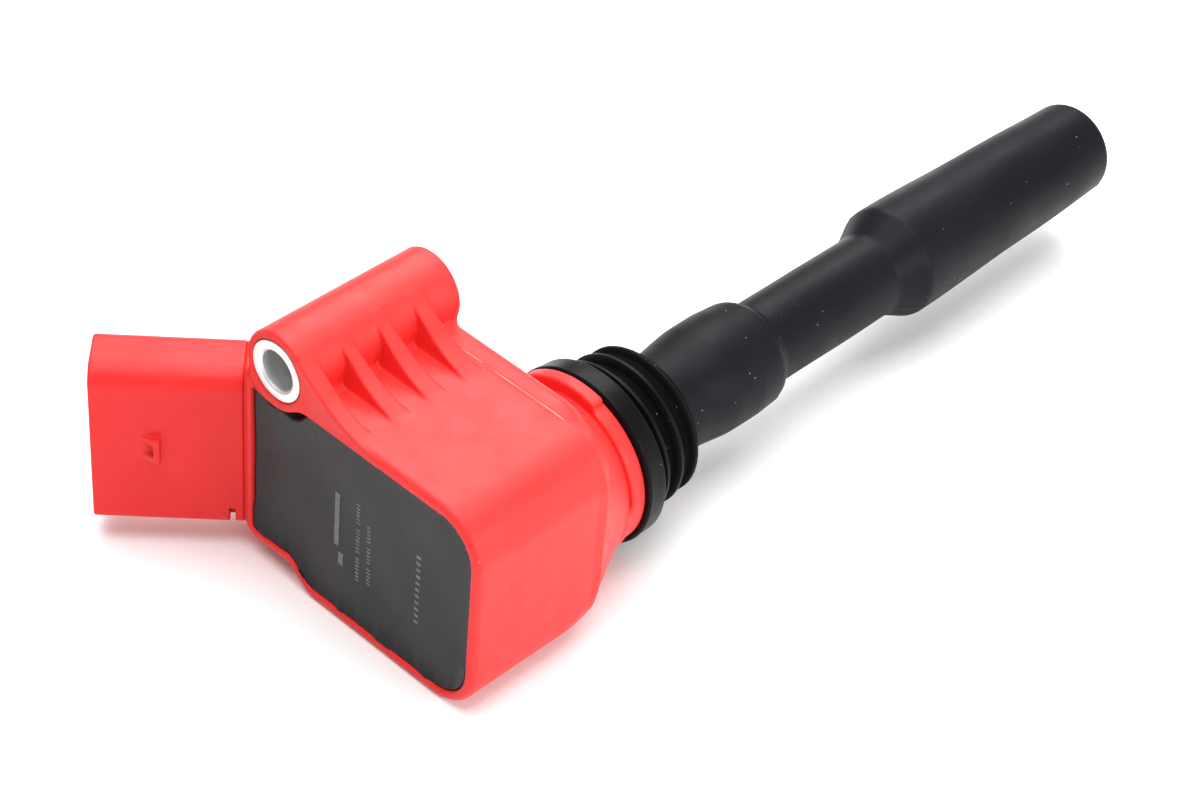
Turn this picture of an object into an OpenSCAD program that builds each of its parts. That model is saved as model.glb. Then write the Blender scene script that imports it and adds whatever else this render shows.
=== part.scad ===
// Plug-top ignition coil, bolt-down type with a four-way connector.
// +X runs along the coil from the head towards the spark plug, +Z is up, towards the bolt boss.
// The origin is on the coil axis, at the front edge of the well seal's band. Millimetres.

/* [Head] */
// X of the open front rim of the head
head_front = -40.5; // [-44:0.5:-38]
// X of the back edge of the rectangular part of the head
head_back = -9.4; // [-10:0.2:-9.4]
// Y of the plain side of the head
head_right = -18.6; // [-19.5:0.1:-18.4]
// Y of the connector side of the head
head_left = 32.2; // [32:0.1:32.6]
// Z of the top of the head
head_top = 21.5; // [21.3:0.1:21.8]
// Z of the bottom of the head
head_bottom = -16.5; // [-16.9:0.1:-16.4]
// Thickness of the head's walls
wall = 1.7; // [1.5:0.1:1.8]
// Depth of the potting's surface below the rim
potting_recess = 0.7; // [0.4:0.1:1]

/* [Bolt boss] */
// Y of the bolt axis
boss_y = 24.6; // [24.4:0.1:24.8]
// Z of the bolt axis
boss_z = 24.1; // [24:0.1:24.4]
// Outer radius of the boss
boss_r = 6.6; // [6.5:0.1:6.9]
// X of the end of the boss that sits on the engine
boss_back = -9.2; // [-10:0.1:-9]
// Outer radius of the steel sleeve
sleeve_r = 5.1; // [5:0.05:5.2]
// Bore radius of the steel sleeve, for an M6 bolt
sleeve_bore_r = 3.4; // [3.3:0.05:3.5]

/* [Connector] */
// Distance of the mouth from the origin, along the connector
mouth_a = 74.6; // [73:0.2:75]
// Distance of the flange's inner face from the origin, along the connector
flange_a = 51.3; // [51.3:0.1:51.6]
// Thickness of the connector across its flat face
connector_t = 11.4; // [11.2:0.1:11.6]
// Z of the underside of the connector
connector_bottom = -12.2; // [-12.3:0.1:-12.1]
// Height of the connector
connector_h = 29.8; // [29.6:0.1:30]
// Distance between neighbouring terminals
pin_pitch = 5; // [4.8:0.1:5.1]

/* [Well seal] */
// Outer radius of the seal's band
band_r = 15.35; // [15:0.05:15.6]
// Width of the seal's band
band_w = 4.1; // [4:0.1:4.3]
// Radius of the spigot that carries the seal
spigot_r = 11; // [10.8:0.1:11.2]

/* [Tower and boot] */
// Outer radius of the high-voltage tower
tower_r = 5.6; // [5.4:0.1:5.7]
// Bore radius of the high-voltage tower
tower_bore_r = 3.2; // [3.1:0.05:3.3]
// X of the end of the tower
tower_end = 60; // [58:1:60]
// X of the end of the boot
boot_end = 127; // [126:0.5:129]
// Bore radius of the boot over the spark plug's insulator
plug_bore_r = 5.2; // [5.1:0.05:5.3]

/* [Contact] */
// X of the contact cup's mouth at rest
cup_mouth = 84.6; // [84.4:0.1:84.7]
// Length of the contact cup
cup_len = 10.6; // [10:0.1:11]
// X of the fixed end of the contact spring
spring_start = 31; // [30:0.5:32]

/* [Hidden] */
$fn = 64;

// Head
corner_lower_r = 8.6;
corner_upper_r = 8.5;
corner_left_r = 2.5;
step_y = [17.5, 22.5];
step_rise = 3.5;
cavity_back = -15;
back_draft = 2.2;
back_draft_x = -13.8;
shoulder_x = -13.8;

// Ribs from the boss to the top of the head; the first one backs the rim
rib_x = [[head_front, head_front + 3], [-32.7, -30.6], [-25.6, -23.3], [-18.3, -15.8]];
rib_slope = 36;
rib_sink = 1;
rib_top = [boss_y - boss_r * sin(rib_slope), boss_z + boss_r * cos(rib_slope)];
rib_foot_y = rib_top[0] - (rib_top[1] - head_top) / tan(rib_slope);

// Collar between the head and the seal, with two arc lugs
collar_r = 14.4;
collar_w = 3;
collar_core_r = 9;
collar_sink = 1;
spigot_end = 14.6;
well_floor = -10.5;
upper_lug = [62, 108];
upper_lug_x = [-3.6, -0.8];
side_lug = [196, 226];
side_lug_x = [-4.2, -1.2];
lug_rise = 0.9;

// Connector: a runs along it, b is the distance towards its flat face
face_b = 5.66;
back_b = face_b - connector_t;
mid_b = (face_b + back_b) / 2;
section_top_r = 3.4;
section_bottom_r = 1.8;
shell_t = 1.3;
base_t = 4;
flange_w = 1.9;
notch = [0.8, 3, 3.4];
neck_a = 36;
neck_way_a = 38;
neck_wall = 2;
tab_z = [0.8, 5.5];
tab_a = [63.6, 63.9, 64.8, 66.8];
tab_rise = 1.3;
pin_mid_z = connector_bottom + connector_h / 2;
pin_tip_a = 67;
pin_thick = 0.8;
pin_wide = 2.8;
blade_start_a = 44.4;
pin_leg_x = [-31.2, -29.8];
pin_leg_end_y = 32;

// Transformer, wound about an axis along Y
wound_x = -25.7;
wound_z = 2;
core_side = 6.4;
yoke_x = [-29.2, -22.2];
yoke_y = [-14.4, 24];
yoke_bar = 3;
yoke_window_z = 9.7;
yoke_out_z = 12.5;
cushion_t = 0.9;
magnet_len = 2.6;
primary_r = [5.4, 6.3];
primary_y = [-11, 20.6];
cheek_w = 0.8;
cheek_rise = 0.2;
bobbin_gap = 0.2;
secondary_r = [6.6, 7.5, 9.2, 9.6];
secondary_y = [-10.8, 20.4];
section_count = 7;
partition_w = 0.9;
section_pitch = (secondary_y[1] - secondary_y[0] - partition_w) / section_count;
pocket_y = [-15.4, 29.3];
pocket_z = [-10.9, 16.5];
pocket_front = -36.2;

// Driver electronics on the connector side of the head
board_x = [-34.5, -17];
board_y = [25.2, 26.2];
board_z = [-10, 14];
switch_x = [-27, -18];
switch_y = [26.2, 28.4];
switch_z = [-3, 7];
spreader_t = 0.7;
spreader_z = [-8, 12];
diode_r = 1.2;
diode_len = 7;
diode_lead_r = 0.35;
diode_lead_len = 17;
diode_place = [-17.6, 0.5, -9.6];

// High-voltage path
terminal_r = 3;
terminal_plate_r = 4.4;
terminal_end = -6;
cap_depth = 5;
cap_t = 0.8;
rod_r = 2.4;
spring_r = [2.1, 2.9];
stem_r = 1.9;
stem_len = 6;
cup_r = 4.6;
cup_bore_r = 3.2;
cup_base_t = 2;
seal_core_r = spigot_r + 0.9;
lip_w = 1.2;
lips = [[5.2, 13.7], [9.1, 13.1], [12.8, 12.75]];
boot_start = 15.2;
boot_tip_r = 2;
boot_mouth_chamfer = 0.9;
boot_lip = [84.8, 86];
boot_lip_r = 4;
boot_bore_r = 5;
boot_flare = 4;

// Points of an arc about [u, v], from angle a0 to angle a1
function arc(u, v, r, a0, a1, n) =
    [for (i = [0 : n]) let (a = a0 + (a1 - a0) * i / n) [u + r * cos(a), v + r * sin(a)]];

// Outline of the head across X, moved inwards by d, without the boss
function head_points(d) = concat(
    arc(head_right + corner_lower_r, head_bottom + corner_lower_r, corner_lower_r - d, 180, 270, 8),
    [[step_y[0], head_bottom + d], [step_y[1], head_bottom + step_rise + d]],
    arc(head_left - corner_left_r, head_bottom + step_rise + corner_left_r,
        corner_left_r - d, 270, 360, 5),
    [[head_left - d, head_top - d]],
    arc(head_right + corner_upper_r, head_top - corner_upper_r, corner_upper_r - d, 90, 180, 10));

// Extrusion from x0 to x1 of an outline drawn in Y and Z
module along_x(x0, x1) {
    translate([x0, 0, 0]) rotate([90, 0, 90]) linear_extrude(x1 - x0) children();
}

// Round bar on the coil axis
module rod(x0, x1, r) {
    translate([x0, 0, 0]) rotate([0, 90, 0]) cylinder(h = x1 - x0, r = r);
}

// Tube on the coil axis
module tube(x0, x1, r_in, r_out) {
    difference() {
        rod(x0, x1, r_out);
        rod(x0 - 1, x1 + 1, r_in);
    }
}

// Ring about the transformer's axis
module wound_ring(y0, y1, r_in, r_out) {
    translate([wound_x, y1, wound_z]) rotate([90, 0, 0]) difference() {
        cylinder(h = y1 - y0, r = r_out);
        translate([0, 0, -1]) cylinder(h = y1 - y0 + 2, r = r_in);
    }
}

// Box from its lowest to its highest corner
module box(low, high) {
    translate(low) cube(high - low);
}

// Moves a shape drawn in a, b and z to the connector's 45 degree direction
module along_connector() {
    rotate([0, 0, 135]) children();
}

// Block in the connector's own directions
module slanted(a0, a1, b0, b1, z0, z1) {
    along_connector() box([a0, b0, z0], [a1, b1, z1]);
}

// Profile of the connector body with a well rounded top and slightly rounded underside
module connector_section(d) {
    top = connector_bottom + connector_h;
    hull() {
        for (side = [1, -1]) {
            b = (side > 0) ? back_b : face_b;
            translate([b + side * section_top_r, top - section_top_r])
                circle(r = section_top_r - d, $fn = 32);
            translate([b + side * section_bottom_r, connector_bottom + section_bottom_r])
                circle(r = section_bottom_r - d, $fn = 24);
        }
    }
}

// Extrusion of the connector's profile, moved inwards by d, from a0 to a1
module connector_bar(a0, a1, d) {
    along_connector() translate([a0, 0, 0]) rotate([90, 0, 90])
        linear_extrude(a1 - a0) connector_section(d);
}

module boss_solid(x0, x1, r) {
    translate([0, boss_y, boss_z]) rod(x0, x1, r);
}

// Sloped rib, tangent to the boss, down to the top of the head
module rib(x0, x1) {
    along_x(x0, x1) polygon([
        [rib_foot_y - rib_sink, head_top - rib_sink],
        [rib_foot_y, head_top],
        rib_top,
        [boss_y - rib_sink, boss_z],
        [boss_y - rib_sink, head_top - rib_sink]]);
}

// Space inside the head, behind the rim
module cavity(x0, x1) {
    difference() {
        along_x(x0, x1) polygon(head_points(wall));
        boss_solid(x0 - 1, x1 + 1, boss_r);
    }
}

// Wedge between the side of the head and the connector's flange
module neck_block() {
    top = connector_bottom + connector_h;
    intersection() {
        slanted(neck_a, flange_a, back_b, face_b, connector_bottom, top);
        box([-60, head_left - wall, connector_bottom - 1], [-20, 60, top + 1]);
    }
}

// Way through the neck for the terminals
module neck_way() {
    slanted(neck_way_a, flange_a + 1, back_b + neck_wall, face_b - neck_wall,
        connector_bottom + neck_wall, connector_bottom + connector_h - neck_wall);
}

// Raised arc on the collar, between two x positions and two angles
module arc_lug(x, angles) {
    translate([x[0], 0, 0]) rotate([90, 0, 90]) rotate([0, 0, angles[0]])
        rotate_extrude(angle = angles[1] - angles[0])
            translate([collar_r - lug_rise, 0]) square([2 * lug_rise, x[1] - x[0]]);
}

// Thin slice of the head's outline, moved inwards by d
module head_slice(x, d) {
    along_x(x, x + 0.1) polygon(head_points(d));
}

// Taper from the rectangular head to the round collar
module shoulder() {
    hull() {
        intersection() {
            head_slice(shoulder_x, 1.2);
            box([shoulder_x - 1, head_right, head_bottom], [shoulder_x + 1, -head_right, head_top]);
        }
        rod(-collar_w, -collar_w + 0.5, collar_r);
    }
}

module head_outside() {
    along_x(head_front, back_draft_x) polygon(head_points(0));
    hull() {
        head_slice(back_draft_x, 0);
        head_slice(head_back - 0.1, back_draft);
    }
    shoulder();
    rod(-collar_w, 0, collar_r);
    rod(-collar_sink, spigot_end, spigot_r);
    boss_solid(head_front, boss_back, boss_r);
    for (x = rib_x) rib(x[0], x[1]);
    arc_lug(upper_lug_x, upper_lug);
    arc_lug(side_lug_x, side_lug);
    neck_block();
}

module coil_housing() color([0.90, 0.16, 0.15]) {
    difference() {
        head_outside();
        cavity(head_front - 1, cavity_back);
        boss_solid(head_front - 1, boss_back + 1, sleeve_r);
        neck_way();
        rod(well_floor, spigot_end + 1, collar_core_r);
        rod(cavity_back - 1, well_floor + 1, tower_bore_r);
    }
    tube(cavity_back + 1, tower_end, tower_bore_r, tower_r);
}

// Ramp with a steep back, which the mating plug's latch snaps over
module latch_tab() {
    sink = 0.1;
    along_connector() translate([0, 0, tab_z[0]]) linear_extrude(tab_z[1] - tab_z[0])
        translate([0, face_b]) polygon([
            [tab_a[3], -sink], [tab_a[2], tab_rise], [tab_a[1], tab_rise], [tab_a[0], -sink]]);
}

module connector_housing() color([0.88, 0.15, 0.14]) {
    difference() {
        union() {
            connector_bar(flange_a, mouth_a, 0);
            latch_tab();
        }
        connector_bar(flange_a + base_t, mouth_a + 1, shell_t);
        for (i = [0 : 3]) pin_slot(i);
        slanted(flange_a + flange_w, flange_a + flange_w + notch[0], face_b - notch[1], face_b + 1,
            connector_bottom - 1, connector_bottom + notch[2]);
    }
}

function pin_z(i) = pin_mid_z + (i - 1.5) * pin_pitch;

module pin_slot(i) {
    slanted(flange_a - 1, flange_a + base_t + 1, mid_b - pin_wide / 2, mid_b + pin_wide / 2,
        pin_z(i) - pin_thick / 2, pin_z(i) + pin_thick / 2);
}

// Stamped terminal: a leg on the driver board, bent through 45 degrees into a blade
module terminal_pin(i) color([0.80, 0.72, 0.45]) {
    slanted(blade_start_a, pin_tip_a, mid_b - pin_wide / 2, mid_b + pin_wide / 2,
        pin_z(i) - pin_thick / 2, pin_z(i) + pin_thick / 2);
    box([pin_leg_x[0], board_y[1], pin_z(i) - pin_thick / 2],
        [pin_leg_x[1], pin_leg_end_y, pin_z(i) + pin_thick / 2]);
}

module mounting_sleeve() color([0.82, 0.83, 0.85]) {
    difference() {
        boss_solid(head_front - 0.1, boss_back + 0.2, sleeve_r);
        boss_solid(head_front - 2, boss_back + 2, sleeve_bore_r);
    }
}

module potting_compound() color([0.20, 0.22, 0.23]) {
    cavity(head_front + potting_recess, pocket_front);
    difference() {
        cavity(pocket_front, cavity_back);
        box([pocket_front - 1, pocket_y[0], pocket_z[0]], [cavity_back + 1, pocket_y[1], pocket_z[1]]);
        neck_way();
    }
}

module outer_yoke() color([0.35, 0.36, 0.38]) {
    difference() {
        box([yoke_x[0], yoke_y[0], wound_z - yoke_out_z], [yoke_x[1], yoke_y[1], wound_z + yoke_out_z]);
        box([yoke_x[0] - 1, yoke_y[0] + yoke_bar, wound_z - yoke_window_z],
            [yoke_x[1] + 1, yoke_y[1] - yoke_bar, wound_z + yoke_window_z]);
    }
}

module yoke_cushions() color([0.12, 0.12, 0.13]) {
    for (y = [yoke_y[0] - cushion_t, yoke_y[1]])
        box([yoke_x[0], y, wound_z - yoke_out_z], [yoke_x[1], y + cushion_t, wound_z + yoke_out_z]);
}

// Square bar on the transformer's axis
module core_bar(y0, y1, side) {
    box([wound_x - side / 2, y0, wound_z - side / 2], [wound_x + side / 2, y1, wound_z + side / 2]);
}

module centre_core() color([0.45, 0.46, 0.48]) {
    core_bar(yoke_y[0] + yoke_bar, yoke_y[1] - yoke_bar - magnet_len, core_side);
}

module bias_magnet() color([0.25, 0.25, 0.28]) {
    core_bar(yoke_y[1] - yoke_bar - magnet_len, yoke_y[1] - yoke_bar, core_side);
}

module primary_bobbin() color([0.78, 0.76, 0.70]) {
    difference() {
        union() {
            wound_ring(primary_y[0], primary_y[1], 1, primary_r[0]);
            for (y = [primary_y[0], primary_y[1] - cheek_w])
                wound_ring(y, y + cheek_w, 1, primary_r[1] + cheek_rise);
        }
        core_bar(yoke_y[0], yoke_y[1], core_side + bobbin_gap);
    }
}

module primary_winding() color([0.75, 0.38, 0.15]) {
    wound_ring(primary_y[0] + cheek_w, primary_y[1] - cheek_w, primary_r[0], primary_r[1]);
}

module secondary_bobbin() color([0.85, 0.83, 0.78]) {
    wound_ring(secondary_y[0], secondary_y[1], secondary_r[0], secondary_r[1]);
    for (i = [0 : section_count])
        wound_ring(secondary_y[0] + i * section_pitch, secondary_y[0] + i * section_pitch + partition_w,
            secondary_r[1] - 0.2, secondary_r[3]);
}

module secondary_winding() color([0.70, 0.32, 0.12]) {
    for (i = [0 : section_count - 1])
        wound_ring(secondary_y[0] + i * section_pitch + partition_w, secondary_y[0] + (i + 1) * section_pitch,
            secondary_r[1], secondary_r[2]);
}

module driver_board() color([0.10, 0.35, 0.20]) {
    box([board_x[0], board_y[0], board_z[0]], [board_x[1], board_y[1], board_z[1]]);
}

module power_switch() color([0.10, 0.10, 0.11]) {
    box([switch_x[0], switch_y[0], switch_z[0]], [switch_x[1], switch_y[1], switch_z[1]]);
}

module heat_spreader() color([0.75, 0.76, 0.78]) {
    box([switch_x[0], switch_y[1], spreader_z[0]], [switch_x[1], switch_y[1] + spreader_t, spreader_z[1]]);
}

module hv_diode() color([0.15, 0.15, 0.16]) {
    translate(diode_place) rotate([90, 0, 0]) {
        cylinder(h = diode_len, r = diode_r, center = true);
        cylinder(h = diode_lead_len, r = diode_lead_r, center = true);
    }
}

module hv_terminal() color([0.80, 0.70, 0.40]) {
    rod(cavity_back - 1, cavity_back, terminal_plate_r);
    rod(cavity_back - 0.5, terminal_end, terminal_r);
}

module resistor_cap_upper() color([0.80, 0.80, 0.82]) {
    difference() {
        rod(terminal_end, terminal_end + cap_depth, terminal_r);
        rod(terminal_end + cap_t, terminal_end + cap_depth + 1, rod_r);
    }
}

module suppressor_resistor() color([0.90, 0.88, 0.82]) {
    rod(terminal_end + cap_t, spring_start - cap_t, rod_r);
}

module resistor_cap_lower() color([0.80, 0.80, 0.82]) {
    difference() {
        rod(spring_start - cap_depth, spring_start, terminal_r);
        rod(spring_start - cap_depth - 1, spring_start - cap_t, rod_r);
    }
}

module contact_spring() color([0.75, 0.76, 0.78]) {
    tube(spring_start, cup_mouth - cup_len, spring_r[0], spring_r[1]);
}

module contact_cup() color([0.80, 0.72, 0.45]) {
    cup_back = cup_mouth - cup_len;
    difference() {
        rod(cup_back, cup_mouth, cup_r);
        rod(cup_back + cup_base_t, cup_mouth + 1, cup_bore_r);
    }
    rod(cup_back - stem_len, cup_back + 1, stem_r);
}

// Ring of rubber with a band and three lips, turned about the coil axis
module well_seal() color([0.06, 0.06, 0.07]) {
    tube(0, band_w, spigot_r, band_r);
    tube(0, spigot_end, spigot_r, seal_core_r);
    for (lip = lips) tube(lip[0], lip[0] + lip_w, spigot_r, lip[1]);
}

module plug_boot() color([0.13, 0.14, 0.15]) {
    rotate([0, 90, 0]) rotate_extrude() polygon(concat(
        [[tower_r, boot_start], [8.8, boot_start], [9.3, 17], [9.5, 20], [9.45, 36]],
        arc(6.95, 36.2, 2.5, 5, 70, 5),
        [[7.35, 42], [7.3, 69.4], [7.9, 71.6], [9.5, 75], [9.95, 77.5], [9.9, 80], [9.4, 95],
            [9, 110], [8.6, 121]],
        arc(8.6 - boot_tip_r, boot_end - boot_tip_r, boot_tip_r, 0, 90, 5),
        [[plug_bore_r + boot_mouth_chamfer, boot_end], [plug_bore_r, boot_end - boot_flare],
            [plug_bore_r, boot_lip[1]], [boot_lip_r, boot_lip[1]], [boot_lip_r, boot_lip[0]],
            [boot_bore_r, boot_lip[0]], [boot_bore_r, tower_end], [tower_r, tower_end]]));
}

coil_housing();
connector_housing();
terminal_pin(0);  // terminal_pin_1
terminal_pin(1);  // terminal_pin_2
terminal_pin(2);  // terminal_pin_3
terminal_pin(3);  // terminal_pin_4
mounting_sleeve();
potting_compound();
outer_yoke();
yoke_cushions();
centre_core();
bias_magnet();
primary_bobbin();
primary_winding();
secondary_bobbin();
secondary_winding();
driver_board();
power_switch();
heat_spreader();
hv_diode();
hv_terminal();
resistor_cap_upper();
suppressor_resistor();
resistor_cap_lower();
contact_spring();
contact_cup();
well_seal();
plug_boot();
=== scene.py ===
"""Looks of a plug-top ignition coil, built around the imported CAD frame.

Lengths in the script are millimetres.
"""
import math

import bpy
import numpy as np
from mathutils import Matrix, Vector


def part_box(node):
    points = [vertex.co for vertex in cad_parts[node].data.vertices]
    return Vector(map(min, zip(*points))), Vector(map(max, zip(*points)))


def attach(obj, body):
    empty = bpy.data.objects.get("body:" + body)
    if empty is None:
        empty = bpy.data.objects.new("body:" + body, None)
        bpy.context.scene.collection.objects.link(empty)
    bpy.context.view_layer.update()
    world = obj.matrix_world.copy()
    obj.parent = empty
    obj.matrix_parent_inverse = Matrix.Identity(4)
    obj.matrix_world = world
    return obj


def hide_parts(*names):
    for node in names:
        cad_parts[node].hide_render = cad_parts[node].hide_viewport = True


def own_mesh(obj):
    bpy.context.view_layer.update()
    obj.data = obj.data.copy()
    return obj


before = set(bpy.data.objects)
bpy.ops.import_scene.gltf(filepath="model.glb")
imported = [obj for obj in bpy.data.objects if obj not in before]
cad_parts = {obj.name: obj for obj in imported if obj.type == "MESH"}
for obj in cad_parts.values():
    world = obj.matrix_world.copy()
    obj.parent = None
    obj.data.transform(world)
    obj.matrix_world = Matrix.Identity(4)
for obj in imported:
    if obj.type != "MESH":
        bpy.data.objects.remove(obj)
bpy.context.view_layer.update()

MM = 0.001

# ---------------------------------------------------------------- sizes, from the frame where it has them


def node_box(node):
    """Lowest and highest corners of a CAD node, in millimetres."""
    low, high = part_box(node)
    return np.array(low) / MM, np.array(high) / MM


HOUSING_LOW, HOUSING_HIGH = node_box("coil_housing")
CONNECTOR_LOW, CONNECTOR_HIGH = node_box("connector_housing")
SLEEVE_LOW, SLEEVE_HIGH = node_box("mounting_sleeve")
_, SEAL_HIGH = node_box("well_seal")
BOOT_LOW, BOOT_HIGH = node_box("plug_boot")
SPRING_LOW, SPRING_HIGH = node_box("contact_spring")
CUP_LOW, CUP_HIGH = node_box("contact_cup")
POTTING_LOW, POTTING_HIGH = node_box("potting_compound")
PIN_NODES = [f"terminal_pin_{i}" for i in range(1, 5)]

# Head: a rounded box with an open front; its underside steps up towards the connector
HEAD_FRONT = HOUSING_LOW[0]
HEAD_BACK = -9.2
PARTING_X = -14.2
HEAD_RIGHT = HOUSING_LOW[1]
HEAD_LEFT = 32.2
HEAD_BOTTOM = HOUSING_LOW[2]
HEAD_TOP = 21.5
WALL = 1.7
CAVITY_BACK = -15.0
STEP_START, STEP_END, STEP_RISE = 16.5, 22.5, 3.5
CORNER_R = {"lower_right": 8.5, "upper_right": 8.5, "lower_left": 2.5, "upper_left": 3.0}

# Behind the parting line the plain side turns in, most of all at its lower corner
TURN_IN, TURN_IN_LOW, TURN_IN_LENGTH = 3.0, 3.5, 4.0
UNDERCUT, UNDERCUT_LENGTH = 0.7, 6.0

# Shoulder: from a rounded rectangle behind the head to the round collar
SHOULDER_LOW = (HEAD_RIGHT + 0.1, HEAD_BOTTOM + 1.3)
SHOULDER_HIGH = (20.0, HEAD_TOP - 0.5)
SHOULDER_CORNER_R = (10.0, 8.5, 4.0, 5.0)

# Boss round the steel sleeve, and the ribs that slope down from it, each from one X to another
BOSS_Y = (SLEEVE_LOW[1] + SLEEVE_HIGH[1]) / 2
BOSS_Z = (SLEEVE_LOW[2] + SLEEVE_HIGH[2]) / 2
SLEEVE_R = (SLEEVE_HIGH[1] - SLEEVE_LOW[1]) / 2
SLEEVE_BORE_R = 3.4
BOSS_R = HOUSING_HIGH[2] - BOSS_Z
BOSS_BACK = SLEEVE_HIGH[0] - 0.2
RIB_SLOPE = math.radians(36)
RIB_TOP_Y = BOSS_Y - BOSS_R * math.sin(RIB_SLOPE)
RIB_TOP_Z = BOSS_Z + BOSS_R * math.cos(RIB_SLOPE)
RIB_START_Y = 2
RIB_FOOT_R = 4.0
RIB_ROOT = 4
RIB_DRAFT = 0.10
RIBS = [(HEAD_FRONT, -37.5), (-32.8, -30.5), (-25.7, -23.2), (-18.4, -15.7)]

# Collar, spigot and high-voltage tower, all round the X axis
COLLAR_R = 14.4
COLLAR_STEP = 0.9
RING_W = 2.9
BAND_R = SEAL_HIGH[1]
SPIGOT_R = 11.0
SPIGOT_END = SEAL_HIGH[0]
TOWER_R = 5.6
TOWER_END = 60.0
TOWER_BORE_R = 3.2

# Arcs on the collar: start and end along X, radius, and the angles it runs between, in degrees
UPPER_LUG = (-2.7, -0.25, BAND_R, 46, 107)
SIDE_LUG = (-4.6, -3.0, COLLAR_R + 0.45, 178, 214)
COLLAR_GROOVE = (-4.7, -2.5, 13.1, 46, 109)
LUG_INNER_R = 12

# Connector, in its own directions: a runs out along it and b across it, both diagonal in XY
DIAGONAL = math.sqrt(0.5)
NECK_A = 30
FLANGE_A = 51.3
MOUTH_A = 74.6
FACE_B = 5.66
CONNECTOR_T = 11.4
CONNECTOR_BOTTOM, CONNECTOR_TOP = CONNECTOR_LOW[2], CONNECTOR_HIGH[2]
CONNECTOR_LOWER_R, CONNECTOR_UPPER_R = 1.8, 3.4
SHELL_T = 1.3
BASE_T = 4.0
TAB_A = (63.9, 66.8)
TAB_Z = (0.8, 5.5)
TAB_RISE = 1.3
TAB_LIP = 0.9
KEY_LEVELS = (-6.5, 10.0)
KEY_HALF = 0.5
NOTCH_A = (FLANGE_A + 1.4, FLANGE_A + 2.3)
NOTCH_B = FACE_B - 2.8
NOTCH_TOP = CONNECTOR_BOTTOM + 3.4

# Terminal blades, along the same directions
BLADE_A = (44.4, 67.0)
BLADE_B = FACE_B - CONNECTOR_T / 2
BLADE_HALF_W = 1.4
NOSE_A = 65.4
NOSE_TAPER = 0.45

# Rubber boot and poured resin
BOOT_BORE_R = 5.2
POURED_LEVEL = POTTING_LOW[0] + 0.15
POURED_DEPTH = 3.6

# ---------------------------------------------------------------- distance fields


def round_max(a, b, r):
    """Intersection of two fields, with its edge rounded to radius r."""
    return np.minimum(np.maximum(a, b), -r) + np.hypot(np.maximum(a + r, 0), np.maximum(b + r, 0))


def round_min(a, b, r):
    """Union of two fields, with a fillet of radius r."""
    return np.maximum(np.minimum(a, b), r) - np.hypot(np.maximum(r - a, 0), np.maximum(r - b, 0))


def climb(v, start, end):
    """Rises evenly from 0 where v is start to 1 where v is end."""
    return np.clip((v - start) / (end - start), 0, 1)


def fade(v, start, end):
    """Rises smoothly from 0 where v is start to 1 where v is end."""
    t = climb(v, start, end)
    return t * t * (3 - 2 * t)


def slab(v, low, high):
    """Field of the space between two parallel planes."""
    return np.maximum(low - v, v - high)


def rounded_rect(u, v, low, high, radii):
    """Field of a rectangle with a radius for each corner: low-low, low-high, high-low, high-high."""
    centre = [(low[i] + high[i]) / 2 for i in (0, 1)]
    half = [(high[i] - low[i]) / 2 for i in (0, 1)]
    u = u - centre[0]
    v = v - centre[1]
    r = np.where(u < 0, np.where(v < 0, radii[0], radii[1]), np.where(v < 0, radii[2], radii[3]))
    qu = np.abs(u) - half[0] + r
    qv = np.abs(v) - half[1] + r
    return np.minimum(np.maximum(qu, qv), 0) + np.hypot(np.maximum(qu, 0), np.maximum(qv, 0)) - r


def other_axes(axis):
    return [i for i in range(3) if i != axis]


def net_vertices(field, crossings):
    """One vertex in each cell that the surface passes, in cells; and every cell's vertex number."""
    cells = np.array(field.shape) - 1
    total = np.zeros((*cells, 3), np.float32)
    count = np.zeros(cells, np.float32)
    for axis, (cross, t) in enumerate(crossings):
        others = other_axes(axis)
        for du in (0, 1):
            for dv in (0, 1):
                view = [slice(None)] * 3
                view[others[0]] = slice(du, du + cells[others[0]])
                view[others[1]] = slice(dv, dv + cells[others[1]])
                c = cross[tuple(view)]
                total[..., axis] += t[tuple(view)]
                total[..., others[0]] += c * du
                total[..., others[1]] += c * dv
                count += c
    used = count > 0
    index = np.full(cells, -1, np.int64)
    index[used] = np.arange(used.sum())
    return np.argwhere(used) + total[used] / count[used][:, None], index


def net_quads(field, crossings, index):
    """One quad across each grid edge that the surface crosses."""
    cells = index.shape
    quads = []
    for axis, (cross, _) in enumerate(crossings):
        others = other_axes(axis)
        where = np.argwhere(cross)
        inner = np.all([(where[:, o] > 0) & (where[:, o] < cells[o]) for o in others], axis=0)
        where = where[inner]
        corners = []
        for du, dv in ((1, 1), (0, 1), (0, 0), (1, 0)):
            cell = where.copy()
            cell[:, others[0]] -= du
            cell[:, others[1]] -= dv
            corners.append(index[tuple(cell.T)])
        quad = np.stack(corners, 1)
        starts_inside = field[tuple(where.T)] < 0
        flip = starts_inside == (axis == 1)
        quad[flip] = quad[flip][:, ::-1]
        quads.append(quad)
    return np.concatenate(quads)


def surface_nets(field, low, step):
    """Vertices and quads of the zero surface of a sampled field."""
    crossings = []
    for axis in range(3):
        length = field.shape[axis]
        a = np.take(field, range(length - 1), axis)
        b = np.take(field, range(1, length), axis)
        cross = (a < 0) != (b < 0)
        crossings.append((cross, np.where(cross, a / np.where(cross, a - b, 1), 0)))
    vertices, index = net_vertices(field, crossings)
    return vertices * step + low, net_quads(field, crossings, index)


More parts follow.
